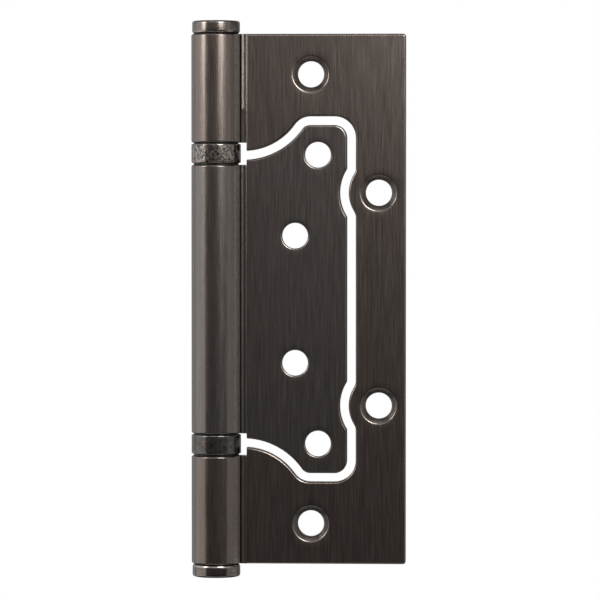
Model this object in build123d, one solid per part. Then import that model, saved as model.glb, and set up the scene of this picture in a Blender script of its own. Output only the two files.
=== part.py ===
from build123d import *
import os
from math import acos, atan2, cos, degrees, hypot, radians, sin, sqrt

# Non-mortise hinge with two ball bearings, closed, so the door leaf lies in the window of the frame leaf.
# Every piece is drawn about the pin: X from the pin to the free edges, Y towards the back, Z along the pin.
# At the end all pieces move to the frame of the fixing: its origin is on the back face of the frame leaf,
# midway between the two end screws.

# Sheet and barrel
leaf_length = 125.0
sheet = 2.5
barrel_d = 11.7
joggle_r = 3.3          # mid-line radius of the bend that sets the barrel central on the leaf
seam_gap = 0.2          # width of the seam where the roll meets its own leaf
edge_cut = 0.3          # worn bevel along the pressed edges
corner_r = 0.7          # free corners of the frame leaf

# Barrel along the pin
frame_knuckle = 25.6
bearing_stack = 5.2     # room for one bearing between two knuckles
notch_past_bend = 0.07  # flat sheet between the bend and the notch beside each bearing

# Leaf outlines
frame_reach = 44.8      # pin to the free edge of the frame leaf
side_band = 11.8        # frame leaf beside its window
end_band = 19.4         # frame leaf above and below its window
slot = 2.05             # gap all round the door leaf
shoulder_step = 1.2     # door leaf stands this far past its own knuckle
flare_x = 6.5           # where the curved flank starts
flare_r = 16.9
flank_corner_r = 2.45
door_corner_r = 3.0
bump_r = 8.35           # metal round each side screw, standing into the window
bump_rise = 1.67
bump_corner_r = 0.5

# Screw holes
hole_d = 6.15
sink_d = 8.7            # countersink, 90 degrees
end_screw_x = 22.4
end_screw_margin = 9.5  # from the end of the frame leaf
side_screw_margin = 6.4  # from the free edge of the frame leaf
side_screw_pitch = 50.2
tip_screw_margin_x = 6.85  # from the free edge of the door leaf
tip_screw_margin_z = 7.0   # from the end of the door leaf
heel_screw_x = 18.7
heel_screw_pitch = 30.0

# Pin and caps
pin_play = 0.05         # running clearance of the pin, all round
press_play = 0.01       # pressed pieces, all round
cap_d = 11.3
cap_height = 3.25
cap_crown_cut = 0.45
spigot_length = 5.0
spigot_gap = 0.4        # between a spigot and the end of the pin

# Bearings
sleeve_wall = 0.5
sleeve_gap = 0.25       # sleeve to the knuckle above or below it
race_play = 0.08
ball_d = 1.8
ball_count = 10
ball_play = 0.03        # between the balls and each race

# Worked out from the sizes above
barrel_r = barrel_d / 2
bore_r = barrel_r - sheet
half_sheet = sheet / 2
roll_mid = barrel_r - half_sheet
bend_x = sqrt(roll_mid**2 + 2 * roll_mid * joggle_r)
notch_x = bend_x + notch_past_bend
half_length = leaf_length / 2
frame_end = half_length - frame_knuckle
door_end = frame_end - bearing_stack
door_half = half_length - end_band - slot
door_reach = frame_reach - side_band - slot
shoulder = door_end + shoulder_step
side_screw_x = frame_reach - side_screw_margin
bump_x = frame_reach - side_band - bump_rise + bump_r
end_screw_z = half_length - end_screw_margin
tip_screw_x = door_reach - tip_screw_margin_x
tip_screw_z = door_half - tip_screw_margin_z
clear = barrel_d        # more than any piece stands off the leaf
touch = 0.01            # two points nearer than this are one place
fixing = Pos(-end_screw_x, -half_sheet, 0)


def sheet_section(reach):
    """Section of a leaf: flat sheet, joggle bend, then the roll round the pin with its seam at the front."""
    bend = (bend_x, joggle_r)
    turn = degrees(atan2(joggle_r, bend_x))
    span = hypot(bend_x, joggle_r)
    front_r = joggle_r + half_sheet
    meet = degrees(acos((span**2 + barrel_r**2 - front_r**2) / (2 * span * barrel_r)))
    stop = 360 + turn - meet - degrees(seam_gap / barrel_r)
    sweep = stop - turn
    lip = (cos(radians(stop)), sin(radians(stop)))
    return make_face(
        [
            Line((reach, -half_sheet), (bend_x, -half_sheet)),
            CenterArc(bend, front_r, -90, turn - 90),
            CenterArc((0, 0), bore_r, turn, sweep),
            Line((bore_r * lip[0], bore_r * lip[1]), (barrel_r * lip[0], barrel_r * lip[1])),
            CenterArc((0, 0), barrel_r, stop, -sweep),
            CenterArc(bend, joggle_r - half_sheet, 180 + turn, 90 - turn),
            Line((bend_x, half_sheet), (reach, half_sheet)),
            Line((reach, half_sheet), (reach, -half_sheet)),
        ]
    )


def block(x_low, x_high, half_height):
    """Rectangle from one x to another, as far above the middle as below it."""
    return Pos((x_low + x_high) / 2, 0) * Rectangle(x_high - x_low, 2 * half_height)


def round_corners(outline, x, z, radius):
    """Round the two corners of an outline at this x, above and below the middle."""
    near = [v for v in outline.vertices() if hypot(v.X - x, abs(v.Y) - z) < touch]
    return fillet(near, radius)


def door_plate():
    """Outline of the door leaf from the pin to its free edge, before the notches for the bearings."""
    plate = block(0, door_reach, door_half)
    for side in (1, -1):
        plate -= Pos(flare_x, side * (shoulder + flare_r)) * Circle(flare_r)
        plate -= Pos(flare_x / 2, side * (shoulder + flare_r)) * Rectangle(flare_x, 2 * flare_r)
        plate -= Pos(bump_x, side * side_screw_pitch / 2) * Circle(bump_r + slot)
    rise = door_half - shoulder
    flank_x = flare_x + sqrt(flare_r**2 - (flare_r - rise) ** 2)
    plate = round_corners(plate, flank_x, door_half, flank_corner_r)
    plate = round_corners(plate, door_reach, door_half, door_corner_r)
    bump_half = sqrt((bump_r + slot) ** 2 - (bump_x - door_reach) ** 2)
    plate = round_corners(plate, door_reach, side_screw_pitch / 2 + bump_half, bump_corner_r)
    return round_corners(plate, door_reach, side_screw_pitch / 2 - bump_half, bump_corner_r)


def door_outline():
    return door_plate() - block(0, notch_x, half_length) + block(-clear, notch_x, door_end)


def frame_outline():
    outline = block(-clear, frame_reach, half_length)
    outline -= offset(door_plate(), slot, kind=Kind.INTERSECTION)
    outline -= block(-clear, notch_x, frame_end)
    return round_corners(outline, frame_reach, half_length, corner_r)


def rolled_leaf(outline, reach):
    """Sheet of the given front outline: a plate with bevelled front edges, joined to its rolled knuckles."""
    plate = extrude(Plane.XZ * (outline & block(notch_x, reach, half_length)), half_sheet, both=True)
    rims = plate.faces().sort_by(Axis.Y)[0].edges()
    plate = chamfer([e for e in rims if e.center().X > notch_x + touch], edge_cut)
    roll = extrude(sheet_section(notch_x), half_length, both=True)
    roll &= extrude(Plane.XZ * (outline & block(-clear, notch_x, half_length)), clear, both=True)
    rims = [e for e in roll.edges().filter_by(GeomType.CIRCLE) if abs(e.radius - barrel_r) < touch]
    return plate + chamfer(rims, edge_cut)


def screw_hole(x, z, sink_side):
    """Cutter for a through hole; sink_side is -1 to countersink the front and 1 for the back."""
    sink_depth = (sink_d - hole_d) / 2
    cutter = Rot(90, 0, 0) * Cylinder(hole_d / 2, 2 * sheet)
    sink = Cone(hole_d / 2, sink_d / 2, sink_depth, align=(Align.CENTER, Align.CENTER, Align.MAX))
    cutter += Pos(0, sink_side * half_sheet, 0) * Rot(-sink_side * 90, 0, 0) * sink
    return Pos(x, 0, z) * cutter


def drill(leaf, holes, sink_side):
    """Cut pairs of countersunk holes above and below the middle."""
    for x, z in holes:
        for side in (1, -1):
            leaf -= screw_hole(x, side * z, sink_side)
    return leaf


def frame_leaf():
    holes = [(end_screw_x, end_screw_z), (side_screw_x, side_screw_pitch / 2)]
    return drill(rolled_leaf(frame_outline(), frame_reach), holes, -1)


def door_leaf():
    holes = [(tip_screw_x, tip_screw_z), (heel_screw_x, heel_screw_pitch / 2)]
    return drill(rolled_leaf(door_outline(), door_reach), holes, 1)


def hinge_pin():
    """Plain pin through the barrel, kept in by the spigots of the two caps."""
    return Cylinder(bore_r - pin_play, leaf_length - 2 * (spigot_length + spigot_gap))


def end_cap():
    """Flat cap on the end of the barrel, with a spigot pressed into the bore."""
    disc = Cylinder(cap_d / 2, cap_height, align=(Align.CENTER, Align.CENTER, Align.MIN))
    disc = chamfer(disc.edges().group_by(Axis.Z)[-1], cap_crown_cut)
    spigot = Cylinder(bore_r - press_play, spigot_length, align=(Align.CENTER, Align.CENTER, Align.MAX))
    return Pos(0, 0, half_length) * (disc + spigot)


def bearing_sleeve():
    """Thin sleeve round the races, drawn about the middle of the bearing."""
    return Cylinder(barrel_r, bearing_stack - 2 * sleeve_gap) - Cylinder(barrel_r - sleeve_wall, bearing_stack)


def bearing_race(rim_play):
    """Lower race: a hardened ring between the end of a knuckle and the balls."""
    height = bearing_stack / 2 - ball_d / 2 - ball_play
    ring = Cylinder(barrel_r - sleeve_wall - rim_play, height) - Cylinder(bore_r - pin_play + race_play, height)
    return Pos(0, 0, (height - bearing_stack) / 2) * ring


def ball_ring():
    """Balls of one bearing, evenly between the pin and the sleeve; each has twenty-six flats."""
    ring_r = (bore_r - pin_play + barrel_r - sleeve_wall) / 2
    flat = ball_d * (1 - sqrt(0.5))
    ball = chamfer(Box(ball_d, ball_d, ball_d).edges(), flat)
    return Part() + [place * ball for place in PolarLocations(ring_r, ball_count)]


def bearing(name, height):
    """The pieces of one bearing; its sleeve is pressed on its lower race and runs round the upper one."""
    place = Pos(0, 0, height)
    flipped = place * Rot(180, 0, 0)
    return {
        f"{name}_bearing_sleeve": place * bearing_sleeve(),
        f"{name}_bearing_bottom_race": place * bearing_race(press_play),
        f"{name}_bearing_top_race": flipped * bearing_race(race_play),
        f"{name}_bearing_balls": place * ball_ring(),
    }


bearing_z = (frame_end + door_end) / 2
cap = end_cap()
pieces = {
    "frame_leaf": frame_leaf(),
    "door_leaf": door_leaf(),
    "hinge_pin": hinge_pin(),
    "top_cap": cap,
    "bottom_cap": Rot(180, 0, 0) * cap,
    **bearing("upper", bearing_z),
    **bearing("lower", -bearing_z),
}

os.makedirs("parts", exist_ok=True)
for node, solid in pieces.items():
    export_step(fixing * solid, f"parts/{node}.step")
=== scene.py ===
import math

import bmesh
import bpy
from mathutils import Matrix, Vector


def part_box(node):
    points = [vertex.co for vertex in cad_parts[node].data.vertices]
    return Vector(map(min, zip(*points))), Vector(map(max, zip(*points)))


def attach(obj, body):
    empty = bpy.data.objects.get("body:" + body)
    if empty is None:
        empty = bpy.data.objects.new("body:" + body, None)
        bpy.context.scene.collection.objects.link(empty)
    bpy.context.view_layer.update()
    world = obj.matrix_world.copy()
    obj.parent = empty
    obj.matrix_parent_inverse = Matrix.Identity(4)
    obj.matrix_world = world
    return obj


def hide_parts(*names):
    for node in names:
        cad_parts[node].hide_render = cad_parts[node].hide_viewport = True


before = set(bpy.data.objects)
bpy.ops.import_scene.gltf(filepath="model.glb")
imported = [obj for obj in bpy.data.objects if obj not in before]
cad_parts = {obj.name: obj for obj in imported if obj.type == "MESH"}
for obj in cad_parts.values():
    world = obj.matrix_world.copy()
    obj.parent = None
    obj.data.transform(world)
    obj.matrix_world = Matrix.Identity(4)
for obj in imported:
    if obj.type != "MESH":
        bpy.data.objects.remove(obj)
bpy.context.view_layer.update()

mm = 0.001
near = 0.001 * mm  # points closer than this are at one place
scene = bpy.context.scene
scene.view_settings.view_transform = "Standard"
print("frame loaded:", ", ".join(sorted(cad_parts)))


# Shader helpers: a socket is either linked or set to a plain value
def addNode(tree, kind, sockets=None, **settings):
    node = tree.nodes.new(kind)
    for name, value in settings.items():
        setattr(node, name, value)
    for name, value in (sockets or {}).items():
        if isinstance(value, bpy.types.NodeSocket):
            tree.links.new(value, node.inputs[name])
        else:
            node.inputs[name].default_value = value
    return node


def mapRange(tree, value, given, wanted=(0.0, 1.0)):
    sockets = {0: value, 1: given[0], 2: given[1], 3: wanted[0], 4: wanted[1]}
    return addNode(tree, "ShaderNodeMapRange", sockets).outputs[0]


def calc(tree, operation, first, second):
    return addNode(tree, "ShaderNodeMath", {0: first, 1: second}, operation=operation).outputs[0]


def mixColour(tree, factor, first, second):
    sockets = {0: factor, 6: first, 7: second}
    return addNode(tree, "ShaderNodeMix", sockets, data_type="RGBA").outputs[2]


def objectPlace(tree):
    return addNode(tree, "ShaderNodeTexCoord").outputs["Object"]


def stretchedPlace(tree, factors):
    sockets = {0: objectPlace(tree), 1: factors}
    return addNode(tree, "ShaderNodeVectorMath", sockets, operation="MULTIPLY").outputs[0]


def noise(tree, place, scale, detail, roughness=0.5):
    sockets = {"Vector": place, "Scale": scale, "Detail": detail, "Roughness": roughness}
    return addNode(tree, "ShaderNodeTexNoise", sockets).outputs[0]


def meshMask(tree, name):
    return addNode(tree, "ShaderNodeAttribute", attribute_name=name).outputs["Fac"]


def newGroup(name, inputs, outputs):
    tree = bpy.data.node_groups.new(name, "ShaderNodeTree")
    for socket, value in inputs.items():
        made = tree.interface.new_socket(socket, in_out="INPUT", socket_type="NodeSocketFloat")
        made.default_value = value
    for socket in outputs:
        tree.interface.new_socket(socket, in_out="OUTPUT", socket_type="NodeSocketFloat")
    return tree, tree.nodes.new("NodeGroupInput").outputs, tree.nodes.new("NodeGroupOutput").inputs


def useGroup(tree, group, sockets):
    node = tree.nodes.new("ShaderNodeGroup")
    node.node_tree = group
    for name, value in sockets.items():
        node.inputs[name].default_value = value
    return node.outputs


def startMaterial(name):
    material = bpy.data.materials.new(name)
    material.use_nodes = True
    tree = material.node_tree
    tree.nodes.clear()
    shader = addNode(tree, "ShaderNodeBsdfPrincipled", {"Metallic": 1.0})
    addNode(tree, "ShaderNodeOutputMaterial", {"Surface": shader.outputs[0]})
    return material, tree, shader


def addBump(tree, shader, look, height):
    sockets = {"Strength": look["bump"], "Distance": look["bumpDepth"], "Height": height}
    tree.links.new(addNode(tree, "ShaderNodeBump", sockets).outputs[0], shader.inputs["Normal"])


# Brushing: noise drawn out along the pin, the same on the flat leaf and round the barrel
brushMarks = {
    "broadScale": 0.3,  # of the fine lines
    "broadDetail": 3.0,
    "broadShare": 0.35,
    "fineDetail": 2.0,
    "fineRoughness": 0.6,
    "fineShare": 0.65,
    "streakRange": (0.38, 0.62),  # noise that becomes 0 and 1
    "hairlineRange": (0.3, 0.7),
}


def makeBrushing(marks):
    tree, given, result = newGroup("brushing", {"Lines": 3000.0, "Run": 0.01}, ["Streaks", "Hairlines"])
    drawn = addNode(tree, "ShaderNodeCombineXYZ", {0: 1.0, 1: 1.0, 2: given["Run"]}).outputs[0]
    along = stretchedPlace(tree, drawn)
    broadLines = calc(tree, "MULTIPLY", given["Lines"], marks["broadScale"])
    broad = noise(tree, along, broadLines, marks["broadDetail"])
    fine = noise(tree, along, given["Lines"], marks["fineDetail"], marks["fineRoughness"])
    broadPart = calc(tree, "MULTIPLY", broad, marks["broadShare"])
    finePart = calc(tree, "MULTIPLY", fine, marks["fineShare"])
    both = calc(tree, "ADD", broadPart, finePart)
    tree.links.new(mapRange(tree, both, marks["streakRange"]), result["Streaks"])
    tree.links.new(mapRange(tree, fine, marks["hairlineRange"]), result["Hairlines"])
    return tree


# Mottling: slow cloudy change of a plated surface, with finer grain on top
mottleMarks = {
    "cloudDetail": 3.0,
    "grainDetail": 4.0,
    "range": (0.32, 0.68),  # noise that becomes 0 and 1
}


def makeMottling(marks):
    tree, given, result = newGroup("mottling", {"Cloud": 60.0, "Grain": 1500.0}, ["Clouds", "Grains"])
    place = objectPlace(tree)
    cloud = noise(tree, place, given["Cloud"], marks["cloudDetail"])
    grain = noise(tree, place, given["Grain"], marks["grainDetail"])
    tree.links.new(mapRange(tree, cloud, marks["range"]), result["Clouds"])
    tree.links.new(mapRange(tree, grain, marks["range"]), result["Grains"])
    return tree


brushing = makeBrushing(brushMarks)
mottling = makeMottling(mottleMarks)

# Black nickel over brushed steel, for the leaves: edges lighter for wear and a painted highlight, matt
# beside the seam and in the countersinks, and painted lighter there as painted light
frameNickel = {
    "dark": (0.0655, 0.0534, 0.0466, 1.0),
    "light": (0.0920, 0.0752, 0.0658, 1.0),
    "warm": (0.0870, 0.0690, 0.0590, 1.0),
    # edge colour: wear plus a painted highlight on the rounded edges
    "worn": (0.300, 0.276, 0.256, 1.0),
    # painted light: the lighter colour on the seam's strip and lip and in the countersinks
    "bareAndLit": (0.17, 0.150, 0.135, 1.0),
    "lines": 6500.0,
    "run": 0.018,
    "cloud": 45.0,
    "cloudShare": 0.45,
    "grain": 2200.0,
    "wornShare": (0.35, 0.9),  # of the lighter edge colour (wear and painted highlight), from the lowest grain to the highest
    "bareAndLitGrain": (0.2, 0.7),
    "bareAndLitShare": (0.35, 1.0),
    "rough": (0.22, 0.31),
    "matt": 0.28,  # more roughness where the polishing wheel doesn't reach
    "bump": 0.07,
    "bumpDepth": 0.004 * mm,
}
doorNickel = {
    **frameNickel,
    "dark": (0.0670, 0.0580, 0.0521, 1.0),
    "light": (0.0865, 0.0750, 0.0678, 1.0),
    "warm": (0.0830, 0.0690, 0.0605, 1.0),
}


def makeBlackNickel(name, look):
    material, tree, shader = startMaterial(name)
    lines = useGroup(tree, brushing, {"Lines": look["lines"], "Run": look["run"]})
    clouds = useGroup(tree, mottling, {"Cloud": look["cloud"], "Grain": look["grain"]})
    plated = mixColour(tree, lines["Streaks"], look["dark"], look["light"])
    cloudy = calc(tree, "MULTIPLY", clouds["Clouds"], look["cloudShare"])
    warmed = mixColour(tree, cloudy, plated, look["warm"])
    # rounded edges painted lighter: wear plus a painted highlight
    wornGrain = mapRange(tree, clouds["Grains"], (0.0, 1.0), look["wornShare"])
    rubbedSheen = calc(tree, "MULTIPLY", meshMask(tree, "edgeWearSheen"), wornGrain)
    worn = mixColour(tree, rubbedSheen, warmed, look["worn"])
    # strip, lip and countersinks: rougher where not polished, and painted lighter as painted light
    unpolishedAndLit = meshMask(tree, "bareAndLitLine")
    bareAndLitGrain = mapRange(tree, clouds["Grains"], look["bareAndLitGrain"], look["bareAndLitShare"])
    broken = calc(tree, "MULTIPLY", unpolishedAndLit, bareAndLitGrain)
    tree.links.new(mixColour(tree, broken, worn, look["bareAndLit"]), shader.inputs["Base Color"])
    polished = mapRange(tree, lines["Hairlines"], (0.0, 1.0), look["rough"])
    rough = calc(tree, "ADD", polished, calc(tree, "MULTIPLY", unpolishedAndLit, look["matt"]))
    tree.links.new(rough, shader.inputs["Roughness"])
    addBump(tree, shader, look, lines["Hairlines"])
    return material


leafMaterials = {
    "frame_leaf": makeBlackNickel("frameNickelBrushed", frameNickel),
    "door_leaf": makeBlackNickel("doorNickelBrushed", doorNickel),
}

# Same plating on turned pieces, where the tool leaves rings round the pin
turnedNickel = {
    "dark": (0.066, 0.055, 0.048, 1.0),
    "light": (0.096, 0.080, 0.070, 1.0),
    # edge colour: wear plus a painted highlight on the rounded crown and foot
    "worn": (0.240, 0.220, 0.205, 1.0),
    "rings": 5200.0,
    "ringDetail": 2.0,
    "ringRange": (0.35, 0.65),  # noise that becomes 0 and 1
    "stretch": (0.1, 0.1, 1.0),
    "cloud": 320.0,
    "grain": 2600.0,
    "wornShare": (0.3, 0.9),
    "rough": (0.17, 0.26),
    "bump": 0.1,
    "bumpDepth": 0.004 * mm,
}


def makeTurnedNickel(name, look):
    material, tree, shader = startMaterial(name)
    rings = noise(tree, stretchedPlace(tree, look["stretch"]), look["rings"], look["ringDetail"])
    tone = mapRange(tree, rings, look["ringRange"])
    clouds = useGroup(tree, mottling, {"Cloud": look["cloud"], "Grain": look["grain"]})
    plated = mixColour(tree, tone, look["dark"], look["light"])
    # rounded edges painted lighter: wear plus a painted highlight
    wornGrain = mapRange(tree, clouds["Grains"], (0.0, 1.0), look["wornShare"])
    worn = calc(tree, "MULTIPLY", meshMask(tree, "edgeWearSheen"), wornGrain)
    tree.links.new(mixColour(tree, worn, plated, look["worn"]), shader.inputs["Base Color"])
    tree.links.new(mapRange(tree, clouds["Clouds"], (0.0, 1.0), look["rough"]), shader.inputs["Roughness"])
    addBump(tree, shader, look, tone)
    return material


capMaterial = makeTurnedNickel("blackNickelTurned", turnedNickel)

# Bearing sleeves: plating over a rough ring, blotched and pitted, the upper one more than the lower
upperSleeve = {
    "dark": (0.018, 0.015, 0.013, 1.0),
    "light": (0.170, 0.149, 0.134, 1.0),
    # edge colour: wear plus a painted highlight on the rounded rims
    "worn": (0.26, 0.235, 0.215, 1.0),
    "blotch": 1500.0,
    "grain": 4200.0,
    "blotchRange": (0.25, 0.75),
    "wornShare": (0.3, 1.0),
    "rough": (0.12, 0.24),
    "bump": 0.24,
    "bumpDepth": 0.04 * mm,
}
lowerSleeve = {
    **upperSleeve,
    "dark": (0.036, 0.031, 0.028, 1.0),
    "light": (0.070, 0.061, 0.055, 1.0),
    "blotch": 900.0,
    "grain": 3000.0,
    "rough": (0.20, 0.28),
    "bump": 0.14,
    "bumpDepth": 0.03 * mm,
}


def makeSleeveMetal(name, look):
    material, tree, shader = startMaterial(name)
    spots = useGroup(tree, mottling, {"Cloud": look["blotch"], "Grain": look["grain"]})
    both = calc(tree, "ADD", spots["Clouds"], spots["Grains"])
    blotch = calc(tree, "MULTIPLY", both, 0.5)  # mean of the two
    plated = mixColour(tree, mapRange(tree, blotch, look["blotchRange"]), look["dark"], look["light"])
    # rounded rims painted lighter: wear plus a painted highlight
    wornBlotch = mapRange(tree, spots["Clouds"], (0.0, 1.0), look["wornShare"])
    worn = calc(tree, "MULTIPLY", meshMask(tree, "edgeWearSheen"), wornBlotch)
    tree.links.new(mixColour(tree, worn, plated, look["worn"]), shader.inputs["Base Color"])
    tree.links.new(mapRange(tree, spots["Grains"], (0.0, 1.0), look["rough"]), shader.inputs["Roughness"])
    addBump(tree, shader, look, blotch)
    return material


upperSleeveMaterial = makeSleeveMetal("upperSleeveNickel", upperSleeve)
lowerSleeveMaterial = makeSleeveMetal("lowerSleeveNickel", lowerSleeve)

# Unplated steel inside the barrel: ground pin, races near black as painted shade in the gaps beside the
# sleeves, polished balls
steelLooks = {
    "pin": {"dark": (0.42, 0.42, 0.43, 1.0), "light": (0.56, 0.56, 0.57, 1.0), "rough": (0.24, 0.34),
            "marks": 4000.0, "stretch": (0.1, 0.1, 1.0)},
    # races: the near-black colour is painted shade for the dark gaps above and below the sleeves
    "race": {"dark": (0.010, 0.009, 0.008, 1.0), "light": (0.024, 0.022, 0.020, 1.0), "rough": (0.42, 0.52),
             "marks": 3000.0, "stretch": (1.0, 1.0, 0.1)},
    "ball": {"dark": (0.55, 0.55, 0.56, 1.0), "light": (0.66, 0.66, 0.67, 1.0), "rough": (0.08, 0.18),
             "marks": 2500.0, "stretch": (1.0, 1.0, 1.0)},
}
steelMarks = {
    "detail": 3.0,
    "range": (0.35, 0.65),  # noise that becomes 0 and 1
}


def makeSteel(name, look):
    material, tree, shader = startMaterial(name)
    marks = noise(tree, stretchedPlace(tree, look["stretch"]), look["marks"], steelMarks["detail"])
    tone = mapRange(tree, marks, steelMarks["range"])
    tree.links.new(mixColour(tree, tone, look["dark"], look["light"]), shader.inputs["Base Color"])
    tree.links.new(mapRange(tree, tone, (0.0, 1.0), look["rough"]), shader.inputs["Roughness"])
    return material


steelMaterials = {name: makeSteel(name + "Steel", look) for name, look in steelLooks.items()}
print("materials made")

# Barrel axis and bore from the pin, radius of the barrel from a sleeve
pinLow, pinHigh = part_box("hinge_pin")
sleeveLow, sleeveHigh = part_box("upper_bearing_sleeve")
axis = Vector(((pinLow.x + pinHigh.x) / 2, (pinLow.y + pinHigh.y) / 2, 0.0))
pinRadius = (pinHigh.x - pinLow.x) / 2
barrelRadius = (sleeveHigh.x - sleeveLow.x) / 2


# Turns a bmesh into a piece of the part: faces smooth, sharp only where the angle says so
def finishPiece(bm, name, material, body, replaced, sharpAngle):
    mesh = bpy.data.meshes.new(name)
    bm.to_mesh(mesh)
    bm.free()
    mesh.polygons.foreach_set("use_smooth", [True] * len(mesh.polygons))
    mesh.set_sharp_from_angle(angle=sharpAngle)
    for edge in mesh.edges:  # lines marked while modelling stay crisp
        if edge.use_seam:
            edge.use_edge_sharp = True
    mesh.materials.append(material)
    piece = bpy.data.objects.new(name, mesh)
    scene.collection.objects.link(piece)
    weighted = piece.modifiers.new("weightedNormals", "WEIGHTED_NORMAL")
    weighted.keep_sharp = True
    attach(piece, body)
    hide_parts(replaced)
    print("piece", name, "faces", len(mesh.polygons))


# Rolls edges over and paints the new faces lighter, as wear plus a painted highlight; the faces beside them
# stay clean
def roundEdges(bm, edges, width, segments, rubbedSheen):
    wear = bm.verts.layers.float["edgeWearSheen"]
    made = bmesh.ops.bevel(bm, geom=edges, offset=width, offset_type="OFFSET", affect="EDGES",
                           segments=segments, profile=0.5, material=-1, clamp_overlap=False)
    rounded = dict.fromkeys(made["faces"])
    for vert in dict.fromkeys(v for f in rounded for v in f.verts):
        if all(f in rounded for f in vert.link_faces):
            vert[wear] = rubbedSheen


# Leaves: the pressed sheet with every sharp edge rolled over, the metal drawn in a little round each hole,
# a ridge where the flat sheet turns into the bend, and a strip beside the seam of the roll painted lighter
# as a painted highlight
leafShape = {
    "merge": 0.002 * mm,
    "cutLimit": 0.0001 * mm,
    "flatAngle": math.radians(0.6),  # faces that differ less become one
    "flatLimit": 0.9999,  # how squarely a flat face looks to the front
    "plainLimit": 0.99999,  # the same for the front between its dishes
    "edgeAngle": math.radians(27),
    "edgeRound": 0.15 * mm,
    "edgeSegments": 2,
    # edge colour strengths: wear plus a painted highlight on rounded edges
    "edgeWearSheen": 0.05,
    "holeLimit": 6.0 * mm,  # a loop of a larger radius is the leaf's own outline
    "dishRings": ((0.5 * mm, 0.012 * mm), (0.7 * mm, 0.0), (0.25 * mm, 0.0)),  # step outwards, depth
    "dishDepth": 0.035 * mm,
    "rimDraw": 0.10 * mm,
    "rimRound": {"frame_leaf": 0.22 * mm, "door_leaf": 0.45 * mm},
    "rimSegments": 5,
    "rimWearSheen": 0.15,
    "rimPower": 6,  # the painted wear and highlight on the rims fades as they turn from the front
    "sinkFrom": 3.6 * mm,  # a hole of a larger radius is a countersink
    "sinkDepth": 0.15 * mm,  # rougher and painted lighter from here, as painted light in the countersink
    "sinkTone": 0.28,
    "bendReach": 1.6 * mm,  # from the bend line to the seam
    "bendFront": 0.5,  # least turn of the bend's faces to the front and to the barrel
    "bendLean": 0.01,
    "ridgeWidth": 0.47 * mm,
    "ridgeRise": 0.13 * mm,
    "ridgeReach": 0.1 * mm,
    "stripFrom": -1.05 * mm,  # from the bend line, towards the seam
    "stripTo": -0.53 * mm,
    "stripEnd": 45.0 * mm,  # the strip's painted highlight is clear above this height, faint below
    "stripFade": 0.3 * mm,
    "clearTone": 0.85,
    "faintTone": 0.25,
    "clearRise": 0.16 * mm,  # of the seam's side, so that the strip leans away from the barrel
    "faintRise": 0.08 * mm,
    # lip of the roll: rougher, and painted lighter as painted light on the band beside the seam
    "lipFrom": math.sin(math.radians(48)),  # round the barrel from its front
    "lipReach": 0.1 * mm,
    "lipTone": 1.0,
    "creaseAngle": math.radians(3),
    "sharpAngle": math.radians(40),
}


def cutFaces(bm, faces, point, normal):
    verts = list(dict.fromkeys(v for f in faces for v in f.verts))
    edges = list(dict.fromkeys(e for f in faces for e in f.edges))
    bmesh.ops.bisect_plane(bm, geom=verts + edges + faces, dist=leafShape["cutLimit"],
                           plane_co=point, plane_no=normal)


# Closed loops of edges, each a list of edges in no set order
def edgeLoops(edges):
    left = dict.fromkeys(edges)
    loops = []
    while left:
        loop = [next(iter(left))]
        del left[loop[0]]
        for edge in loop:
            for joined in [e for v in edge.verts for e in v.link_edges if e in left]:
                del left[joined]
                loop.append(joined)
        loops.append(loop)
    return loops


def facesFront(face, limit):
    return face.normal.y < -limit


def onFront(vert, frontY):
    return abs(vert.co.y - frontY) < near


def onBend(face, bendX):
    turned = facesFront(face, leafShape["bendFront"]) and face.normal.x < -leafShape["bendLean"]
    return turned and 0 < bendX - face.calc_center_median().x < leafShape["bendReach"]


# Depth of the flat front, and the line where it turns into the bend
def findFront(bm):
    flat = [f for f in bm.faces if facesFront(f, leafShape["flatLimit"])]
    frontY = max(flat, key=lambda f: f.calc_area()).verts[0].co.y
    bendX = min(v.co.x for f in flat if all(onFront(v, frontY) for v in f.verts) for v in f.verts)
    return frontY, bendX


# Strip beside the seam, on the bend, painted lighter as a painted highlight, clear above a height and faint
# below
def rubStrip(bm, bendX):
    bareAndLit = bm.verts.layers.float["bareAndLitLine"]
    stripFrom, stripTo = bendX + leafShape["stripFrom"], bendX + leafShape["stripTo"]
    stripEnd = leafShape["stripEnd"]
    for x in (stripFrom, stripTo):
        cutFaces(bm, [f for f in bm.faces if onBend(f, bendX)], (x, 0.0, 0.0), (1.0, 0.0, 0.0))
    for z in (stripEnd, stripEnd - leafShape["stripFade"]):
        cutFaces(bm, [f for f in bm.faces if onBend(f, bendX)], (0.0, 0.0, z), (0.0, 0.0, 1.0))
    strip = dict.fromkeys(v for f in bm.faces if onBend(f, bendX) for v in f.verts
                          if stripFrom - near < v.co.x < stripTo + near)
    for vert in strip:
        kind = "clear" if vert.co.z > stripEnd - near else "faint"
        vert[bareAndLit] = leafShape[kind + "Tone"]
        if vert.co.x < stripFrom + near:
            vert.co.y -= leafShape[kind + "Rise"]


# Lip of the roll, on the barrel beside the seam, painted lighter as painted light
def rubLip(bm):
    bareAndLit = bm.verts.layers.float["bareAndLitLine"]
    for vert in bm.verts:
        out = (vert.co - axis).xy
        onBarrel = abs(out.length - barrelRadius) < leafShape["lipReach"]
        if onBarrel and out.y < 0 and out.x > out.length * leafShape["lipFrom"]:
            vert[bareAndLit] = leafShape["lipTone"]


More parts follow.
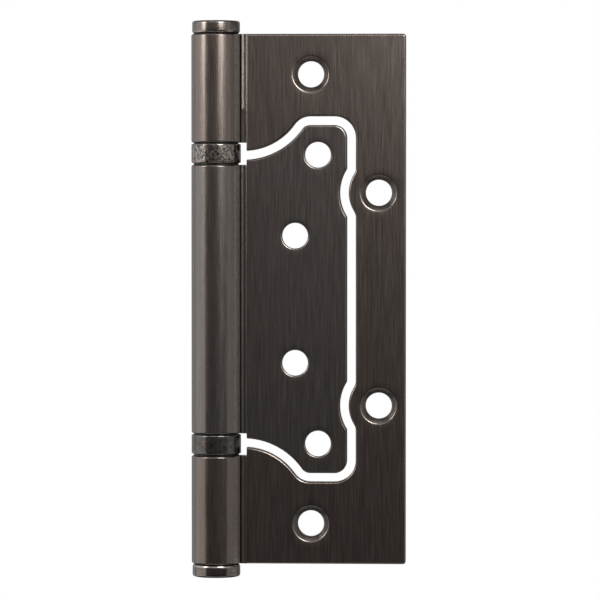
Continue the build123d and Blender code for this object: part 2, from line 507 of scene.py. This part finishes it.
# Narrow strip of the flat front beside the bend, its bend side lifted to a ridge
def liftRidge(bm, frontY, bendX, ridgeX):
    cutFaces(bm, bm.faces[:], (ridgeX, 0.0, 0.0), (1.0, 0.0, 0.0))
    crest = [v for v in bm.verts if onFront(v, frontY) and v.co.x < bendX + leafShape["ridgeReach"]
             and any(onBend(f, bendX) for f in v.link_faces)]
    foot = [v for v in bm.verts if onFront(v, frontY) and abs(v.co.x - ridgeX) < near]
    for edge in bm.edges:
        edge.seam = all(v in crest for v in edge.verts) or all(v in foot for v in edge.verts)
    for vert in crest:
        vert.co.y -= leafShape["ridgeRise"]


# Shallow dish round one hole: rings grown outwards from its rim; gives the edges of the outermost ring
def growDish(bm, loop, ring, centre, frontY):
    grown = loop
    for step, depth in leafShape["dishRings"]:
        made = bmesh.ops.extrude_edge_only(bm, edges=grown)["geom"]
        outer = [g for g in made if isinstance(g, bmesh.types.BMVert)]
        for vert in outer:
            vert.co += (vert.co - centre).normalized() * step
            vert.co.y = frontY + depth
        grown = [g for g in made if isinstance(g, bmesh.types.BMEdge) and all(v in outer for v in g.verts)]
    for vert in ring:
        vert.co += (centre - vert.co).normalized() * leafShape["rimDraw"]
        vert.co.y = frontY + leafShape["dishDepth"]
    return grown


# Flat front made anew between the outline and the dishes; gives the rims and the countersinks
def dishHoles(bm, frontY, ridgeX):
    front = [f for f in bm.faces if facesFront(f, leafShape["flatLimit"])
             and all(onFront(v, frontY) and v.co.x > ridgeX - near for v in f.verts)]
    inFront = dict.fromkeys(front)
    border = [e for e in dict.fromkeys(e for f in front for e in f.edges)
              if sum(f in inFront for f in e.link_faces) == 1]
    bmesh.ops.delete(bm, geom=front, context="FACES")
    outline, rims, sinks = [], [], []
    for loop in edgeLoops(border):
        ring = list(dict.fromkeys(v for e in loop for v in e.verts))
        centre = sum((v.co for v in ring), Vector()) / len(ring)
        radius = max((v.co - centre).length for v in ring)
        if radius > leafShape["holeLimit"]:
            outline += loop
            continue
        if radius > leafShape["sinkFrom"]:
            sinks.append((centre, radius))
        outline += growDish(bm, loop, ring, centre, frontY)
        rims += loop
    bmesh.ops.triangle_fill(bm, edges=outline, use_beauty=True, normal=(0.0, -1.0, 0.0))
    bmesh.ops.recalc_face_normals(bm, faces=bm.faces)
    return rims, sinks


# Rounds the rims, with painted wear and highlight that fades as they turn from the front, and paints the
# countersinks lighter below a depth as painted light
def roundRims(bm, rims, sinks, rimRound, frontY):
    roundEdges(bm, rims, rimRound, leafShape["rimSegments"], leafShape["rimWearSheen"])
    bm.normal_update()
    wear = bm.verts.layers.float["edgeWearSheen"]
    bareAndLit = bm.verts.layers.float["bareAndLitLine"]
    for vert in bm.verts:
        vert[wear] *= vert.normal.y ** leafShape["rimPower"]
    for centre, radius in sinks:
        for vert in bm.verts:
            if (vert.co - centre).xz.length < radius and vert.co.y > frontY + leafShape["sinkDepth"]:
                vert[bareAndLit] = leafShape["sinkTone"]


# Marks the rim of the plain front, which then stays flat in its shading
def creaseFront(bm, frontY):
    plain = dict.fromkeys(f for f in bm.faces if facesFront(f, leafShape["plainLimit"])
                          and all(onFront(v, frontY) for v in f.verts))
    for edge in bm.edges:
        bent = edge.calc_face_angle(0.0) > leafShape["creaseAngle"]
        if bent and sum(f in plain for f in edge.link_faces) == 1:
            edge.seam = True


def makeLeaf(node, name, body):
    bm = bmesh.new()
    bm.from_mesh(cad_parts[node].data)
    bmesh.ops.remove_doubles(bm, verts=bm.verts, dist=leafShape["merge"])
    bmesh.ops.dissolve_limit(bm, verts=bm.verts, edges=bm.edges, angle_limit=leafShape["flatAngle"])
    bm.verts.layers.float.new("edgeWearSheen")
    bm.verts.layers.float.new("bareAndLitLine")
    frontY, bendX = findFront(bm)
    ridgeX = bendX + leafShape["ridgeWidth"]
    rubStrip(bm, bendX)
    rubLip(bm)
    liftRidge(bm, frontY, bendX, ridgeX)
    rims, sinks = dishHoles(bm, frontY, ridgeX)
    roundRims(bm, rims, sinks, leafShape["rimRound"][node], frontY)
    sharp = [e for e in bm.edges if e.is_manifold and e.calc_face_angle(0.0) > leafShape["edgeAngle"]]
    roundEdges(bm, sharp, leafShape["edgeRound"], leafShape["edgeSegments"], leafShape["edgeWearSheen"])
    creaseFront(bm, frontY)
    print(name, "open edges", sum(not e.is_manifold for e in bm.edges))
    finishPiece(bm, name, leafMaterials[node], body, node, leafShape["sharpAngle"])


makeLeaf("frame_leaf", "frame_leaf_brushed", "frame")
makeLeaf("door_leaf", "door_leaf_brushed", "door")


# Spins a half section, a list of (radius, height) corners, round the pin
def spinSection(corners, steps):
    bm = bmesh.new()
    ring = [bm.verts.new(axis + Vector((radius, 0.0, height))) for radius, height in corners]
    loop = [bm.edges.new((ring[i], ring[(i + 1) % len(ring)])) for i in range(len(ring))]
    bmesh.ops.spin(bm, geom=ring + loop, cent=axis, axis=(0.0, 0.0, 1.0), angle=math.tau, steps=steps,
                   use_merge=True)
    bmesh.ops.remove_doubles(bm, verts=bm.verts, dist=near)
    bmesh.ops.recalc_face_normals(bm, faces=bm.faces)
    bm.verts.layers.float.new("edgeWearSheen")
    return bm


def atRadius(vert, radius):
    return abs((vert.co.xy - axis.xy).length - radius) < near


# Caps: turned disc with a low dome, a rounded crown and foot, spigot in the bore
capShape = {
    "dome": 0.20 * mm,
    "domeRings": 6,
    "crownRound": 0.55 * mm,
    # edge colour strengths: wear plus a painted highlight, strong on the foot
    "crownWearSheen": 0.2,
    "footRound": 0.8 * mm,
    "footWearSheen": 0.9,
    "roundSegments": 5,
    "steps": 96,
    "sharpAngle": math.radians(40),
}


def makeCap(node, name, side):
    low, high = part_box(node)
    rim = (high.x - low.x) / 2
    top = max(abs(low.z), abs(high.z))
    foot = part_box("frame_leaf")[1].z
    spigotEnd = min(abs(low.z), abs(high.z))
    shares = [1 - ring / capShape["domeRings"] for ring in range(capShape["domeRings"] + 1)]
    dome = [(rim * share, top - capShape["dome"] * share**2) for share in shares]
    spigot = [(0.0, spigotEnd), (pinRadius, spigotEnd), (pinRadius, foot)]
    bm = spinSection(spigot + [(rim, foot)] + dome, capShape["steps"])
    for height, end in ((dome[0][1], "crown"), (foot, "foot")):
        rims = [e for e in bm.edges
                if all(abs(v.co.z - height) < near and atRadius(v, rim) for v in e.verts)]
        roundEdges(bm, rims, capShape[end + "Round"], capShape["roundSegments"], capShape[end + "WearSheen"])
    if side < 0:
        bmesh.ops.scale(bm, vec=(1.0, 1.0, -1.0), verts=bm.verts)
        bmesh.ops.recalc_face_normals(bm, faces=bm.faces)
    finishPiece(bm, name, capMaterial, "frame", node, capShape["sharpAngle"])


makeCap("top_cap", "top_cap_turned", 1)
makeCap("bottom_cap", "bottom_cap_turned", -1)

# Bearing sleeves: thin rings with soft rims
sleeveShape = {
    "wall": 0.5 * mm,
    "shortBy": 0.15 * mm,  # open gap under the sleeve
    "rimRound": 0.3 * mm,
    # edge colour strength: wear plus a painted highlight on the rims
    "rimWearSheen": 0.3,
    "roundSegments": 3,
    "steps": 120,
    "sharpAngle": math.radians(45),
}


def makeSleeve(node, name, body, material):
    low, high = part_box(node)
    outer = (high.x - low.x) / 2
    inner = outer - sleeveShape["wall"]
    foot = low.z + sleeveShape["shortBy"]
    bm = spinSection([(inner, foot), (outer, foot), (outer, high.z), (inner, high.z)], sleeveShape["steps"])
    rims = [e for e in bm.edges if abs(e.verts[0].co.z - e.verts[1].co.z) < near
            and all(atRadius(v, outer) for v in e.verts)]
    roundEdges(bm, rims, sleeveShape["rimRound"], sleeveShape["roundSegments"], sleeveShape["rimWearSheen"])
    finishPiece(bm, name, material, body, node, sleeveShape["sharpAngle"])


makeSleeve("upper_bearing_sleeve", "upper_sleeve_plated", "door", upperSleeveMaterial)
makeSleeve("lower_bearing_sleeve", "lower_sleeve_plated", "frame", lowerSleeveMaterial)

# Balls: true spheres on the ring between pin and sleeve
ballRing = {
    "count": 10,
    "subdivisions": 3,
    "sharpAngle": math.pi,  # smooth all over
}


def makeBalls(node, name, body):
    low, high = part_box(node)
    diameter = high.z - low.z
    arm = Vector(((high.x - low.x - diameter) / 2, 0.0, 0.0))
    middle = axis + Vector((0.0, 0.0, (low.z + high.z) / 2))
    bm = bmesh.new()
    for index in range(ballRing["count"]):
        centre = middle + Matrix.Rotation(math.tau * index / ballRing["count"], 4, "Z") @ arm
        bmesh.ops.create_icosphere(bm, subdivisions=ballRing["subdivisions"], radius=diameter / 2,
                                   matrix=Matrix.Translation(centre))
    finishPiece(bm, name, steelMaterials["ball"], body, node, ballRing["sharpAngle"])


makeBalls("upper_bearing_balls", "upper_balls_polished", "upper_balls")
makeBalls("lower_bearing_balls", "lower_balls_polished", "lower_balls")

# Pin and races keep their own shape
for node in ("hinge_pin", "upper_bearing_top_race", "upper_bearing_bottom_race", "lower_bearing_top_race",
             "lower_bearing_bottom_race"):
    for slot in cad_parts[node].material_slots:
        slot.material = steelMaterials["race" if "race" in node else "pin"]
print("pieces made")

# Camera: long lens a little to the right of the hinge and above its middle
cameraSetup = {
    "aim": (-0.00253, -0.0025, -0.00015),
    "turn": math.radians(3.0),
    "distance": 0.92,
    "height": 0.030,
    "frameWidth": 0.1414,
    "sensor": 36.0,
    "clipStart": 0.01,
}


# Point on the floor plan: turn from straight in front, to the right, and distance
def roundPoint(turn, distance):
    return Vector((math.sin(turn), -math.cos(turn), 0.0)) * distance


camera = bpy.data.objects.new("camera", bpy.data.cameras.new("camera"))
scene.collection.objects.link(camera)
aim = Vector(cameraSetup["aim"])
camera.location = aim + roundPoint(cameraSetup["turn"], cameraSetup["distance"])
camera.location.z = cameraSetup["height"]
sight = aim - camera.location
camera.rotation_euler = sight.to_track_quat("-Z", "Y").to_euler()
camera.data.sensor_width = cameraSetup["sensor"]
camera.data.lens = cameraSetup["sensor"] * sight.length / cameraSetup["frameWidth"]
camera.data.clip_start = cameraSetup["clipStart"]
scene.camera = camera

# Plain white surround for the camera; for the reflections a room that is lit above the horizon, dark below
# it, a little dimmer overhead and dim behind the hinge
room = {
    "seen": (1.0, 1.0, 1.0, 1.0),
    "light": (1.0, 1.0, 1.0, 1.0),
    "horizon": (-0.095, 0.06),  # height of the direction
    "walls": (0.11, 0.58),
    "overhead": (0.55, 0.85),
    "ceiling": (1.0, 0.8),
    "behind": (-0.2, 0.6),  # depth of the direction
    "backWall": (1.0, 0.3),
}
world = bpy.data.worlds.new("room")
world.use_nodes = True
scene.world = world
tree = world.node_tree
tree.nodes.clear()
direction = addNode(tree, "ShaderNodeTexCoord").outputs["Generated"]
parts = addNode(tree, "ShaderNodeSeparateXYZ", {0: direction}).outputs
walls = mapRange(tree, parts["Z"], room["horizon"], room["walls"])
level = calc(tree, "MULTIPLY", walls, mapRange(tree, parts["Z"], room["overhead"], room["ceiling"]))
level = calc(tree, "MULTIPLY", level, mapRange(tree, parts["Y"], room["behind"], room["backWall"]))
seen = addNode(tree, "ShaderNodeBackground", {"Color": room["seen"]}).outputs[0]
mirrored = addNode(tree, "ShaderNodeBackground", {"Color": room["light"], "Strength": level}).outputs[0]
isCamera = addNode(tree, "ShaderNodeLightPath").outputs["Is Camera Ray"]
mixed = addNode(tree, "ShaderNodeMixShader", {0: isCamera, 1: mirrored, 2: seen})
addNode(tree, "ShaderNodeOutputWorld", {"Surface": mixed.outputs[0]})

# Soft boxes round the barrel: turn in degrees from the camera's side to the right, distance, height of the
# middle and of the point it faces, width and height, radiance
boxTint = (0.98, 1.0, 1.02)
softBoxes = {
    "keyBox": {"turn": 33, "distance": 1.10, "middle": 0.32, "faces": 0.30,
               "size": (0.62, 0.50), "radiance": 2.3},
    "keyNear": {"turn": 25, "distance": 0.25, "middle": 0.155, "faces": 0.05,
                "size": (0.10, 0.15), "radiance": 25.0},
    "rimBox": {"turn": 22, "distance": 0.75, "middle": 0.58, "faces": 0.0,
               "size": (0.30, 0.36), "radiance": 5.0},
    "rimFill": {"turn": -4, "distance": 0.75, "middle": 0.50, "faces": 0.0,
                "size": (0.90, 0.24), "radiance": 2.4},
    "frontTop": {"turn": -8, "distance": 0.60, "middle": 0.20, "faces": 0.0,
                 "size": (0.40, 0.18), "radiance": 0.3},
    "topCard": {"turn": 0, "distance": 0.14, "middle": 0.60, "faces": 0.0,
                "size": (0.50, 0.24), "radiance": 1.8},
    "floorCard": {"turn": 0, "distance": 0.1, "middle": -0.49, "faces": 0.0,
                  "size": (0.7, 0.5), "radiance": 1.1},
    "leftEdge": {"turn": -60, "distance": 0.60, "middle": -0.03, "faces": 0.0,
                 "size": (0.16, 0.60), "radiance": 2.4},
    "leftNear": {"turn": -60, "distance": 0.30, "middle": 0.16, "faces": 0.05,
                 "size": (0.10, 0.18), "radiance": 17.0},
    "leftCard": {"turn": -92, "distance": 0.60, "middle": 0.03, "faces": 0.0,
                 "size": (0.50, 1.00), "radiance": 2.2},
    "leftBack": {"turn": -130, "distance": 0.60, "middle": -0.1, "faces": 0.0,
                 "size": (0.24, 0.80), "radiance": 0.9},
    "rightFront": {"turn": 64, "distance": 0.65, "middle": 0.0, "faces": 0.0,
                   "size": (0.28, 0.90), "radiance": 1.0},
    "rightCard": {"turn": 98, "distance": 0.65, "middle": -0.20, "faces": 0.0,
                  "size": (0.50, 0.60), "radiance": 1.2},
    "backCard": {"turn": 180, "distance": 0.70, "middle": 0.0, "faces": 0.0,
                 "size": (2.0, 1.6), "radiance": 0.35},
}


def makeSoftBox(name, look):
    data = bpy.data.lights.new(name, "AREA")
    data.shape = "RECTANGLE"
    data.color = boxTint
    data.size, data.size_y = look["size"]
    data.energy = look["radiance"] * math.pi * data.size * data.size_y
    box = bpy.data.objects.new(name, data)
    scene.collection.objects.link(box)
    box.location = axis + roundPoint(math.radians(look["turn"]) + cameraSetup["turn"], look["distance"])
    box.location.z = look["middle"]
    faced = axis + Vector((0.0, 0.0, look["faces"]))
    box.rotation_euler = (faced - box.location).to_track_quat("-Z", "Y").to_euler()
    box.visible_camera = False


for name, look in softBoxes.items():
    makeSoftBox(name, look)

# Floor well below the hinge
floorSetup = {"height": -0.5, "size": 5.0, "colour": (0.86, 0.86, 0.85, 1.0), "rough": 0.9}
bm = bmesh.new()
bmesh.ops.create_grid(bm, x_segments=1, y_segments=1, size=floorSetup["size"] / 2,
                      matrix=Matrix.Translation((0.0, 0.0, floorSetup["height"])))
floorMesh = bpy.data.meshes.new("floor")
bm.to_mesh(floorMesh)
bm.free()
floorMaterial = bpy.data.materials.new("floorPaper")
floorMaterial.use_nodes = True
floorShader = floorMaterial.node_tree.nodes["Principled BSDF"]
floorShader.inputs["Base Color"].default_value = floorSetup["colour"]
floorShader.inputs["Roughness"].default_value = floorSetup["rough"]
floorMesh.materials.append(floorMaterial)
floor = bpy.data.objects.new("floor", floorMesh)
scene.collection.objects.link(floor)
floor.visible_glossy = False
print("camera and lights set")
